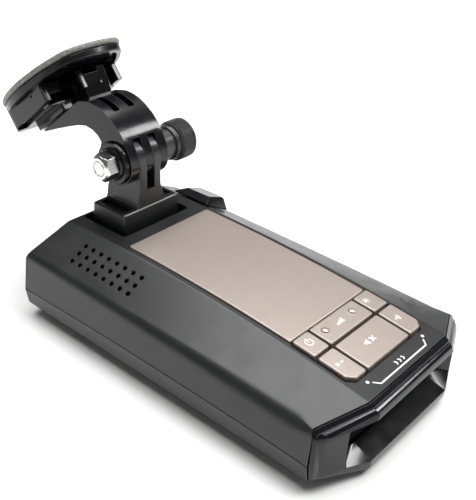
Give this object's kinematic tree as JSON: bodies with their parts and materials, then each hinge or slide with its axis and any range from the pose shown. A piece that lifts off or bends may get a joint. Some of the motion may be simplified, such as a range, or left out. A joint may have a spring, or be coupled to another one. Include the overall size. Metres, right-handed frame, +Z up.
{
  "type": "windscreen radar detector",
  "caption": "Dash radar and laser detector with display end, key pad and a quick-release adapter on a tilting adhesive windscreen mount.",
  "frame": {"origin": "on the underside plane, under the middle of the body, on its centre plane", "axes": "+X to the knob side, +Y from the display end to the windscreen end, +Z up from the underside"},
  "size_m": [0.072, 0.1592, 0.0826],
  "materials": {
    "satin_black": "satin",
    "gloss_black": "gloss",
    "arm_black": "semi-gloss",
    "champagne_metallic": "metallic satin",
    "smoked_window": "smoked gloss",
    "panel_glass": "dark",
    "black_rubber": "matte",
    "board_green": "solder mask",
    "horn_alloy": "cast",
    "plated_steel": "bright zinc",
    "black_steel": "black oxide",
    "foam_grey": "closed-cell foam"
  },
  "bodies": {
    "housing": {"top_shell": "satin_black", "bottom_shell": "satin_black", "display_bezel": "gloss_black", "display_window": "smoked_window", "display_panel": "panel_glass", "top_plate": "champagne_metallic", "keypad": "black_rubber", "main_board": "board_green", "radar_horn": "horn_alloy", "speaker": "black_rubber", "laser_window": "smoked_window", "power_socket": "black_rubber", "case_screw_1": "black_steel", "case_screw_2": "black_steel", "case_screw_3": "black_steel", "case_screw_4": "black_steel"},
    "adapter": {"mount_adapter": "satin_black"},
    "latch": {"release_latch": "satin_black"},
    "arm": {"hook_arm": "arm_black", "hinge_bolt": "plated_steel", "bolt_cup": "gloss_black"},
    "knob": {"thumb_knob": "arm_black"},
    "plate": {"adhesive_base": "gloss_black", "foam_pad": "foam_grey"},
    "power_key": {"key_power": "champagne_metallic"},
    "brightness_key": {"key_brightness": "champagne_metallic"},
    "mute_key": {"key_mute": "champagne_metallic"},
    "mark_key": {"key_mark": "champagne_metallic"},
    "sensitivity_key": {"key_sensitivity": "champagne_metallic"},
    "volume_key": {"key_volume": "champagne_metallic"}
  },
  "joints": [
    {"name": "adapter_lift", "type": "slide", "parent": "housing", "child": "adapter", "axis": [0, 0, 1], "range_m": [0, 0.012]},
    {"name": "latch_slide", "type": "slide", "parent": "housing", "child": "latch", "axis": [0, 1, 0], "range_m": [0, 0.003], "stiffness_N_per_m": 300},
    {"name": "arm_tilt", "type": "hinge", "parent": "adapter", "child": "arm", "pos_m": [0, 0.045, 0.0495], "axis": [1, 0, 0], "range_deg": [-40, 25]},
    {"name": "knob_turn", "type": "hinge", "parent": "arm", "child": "knob", "pos_m": [0.015, 0.045, 0.0495], "axis": [1, 0, 0], "continuous": true},
    {"name": "plate_slide", "type": "slide", "parent": "arm", "child": "plate", "axis": [0, 0.7837, -0.6211], "range_m": [0, 0.012]},
    {"name": "power_press", "type": "slide", "parent": "housing", "child": "power_key", "axis": [0, 0.09, -0.9959], "range_m": [0, 0.0006], "stiffness_N_per_m": 900},
    {"name": "brightness_press", "type": "slide", "parent": "housing", "child": "brightness_key", "axis": [0, 0.09, -0.9959], "range_m": [0, 0.0006], "stiffness_N_per_m": 900},
    {"name": "mute_press", "type": "slide", "parent": "housing", "child": "mute_key", "axis": [0, 0.09, -0.9959], "range_m": [0, 0.0006], "stiffness_N_per_m": 900},
    {"name": "mark_press", "type": "slide", "parent": "housing", "child": "mark_key", "axis": [0, 0.09, -0.9959], "range_m": [0, 0.0006], "stiffness_N_per_m": 900},
    {"name": "sensitivity_press", "type": "slide", "parent": "housing", "child": "sensitivity_key", "axis": [0, 0.09, -0.9959], "range_m": [0, 0.0006], "stiffness_N_per_m": 900},
    {"name": "volume_rock", "type": "hinge", "parent": "housing", "child": "volume_key", "pos_m": [0, -0.03615, 0.0236], "axis": [0, 1, 0], "range_deg": [-3, 3], "stiffness_Nm_per_rad": 0.06}
  ]
}
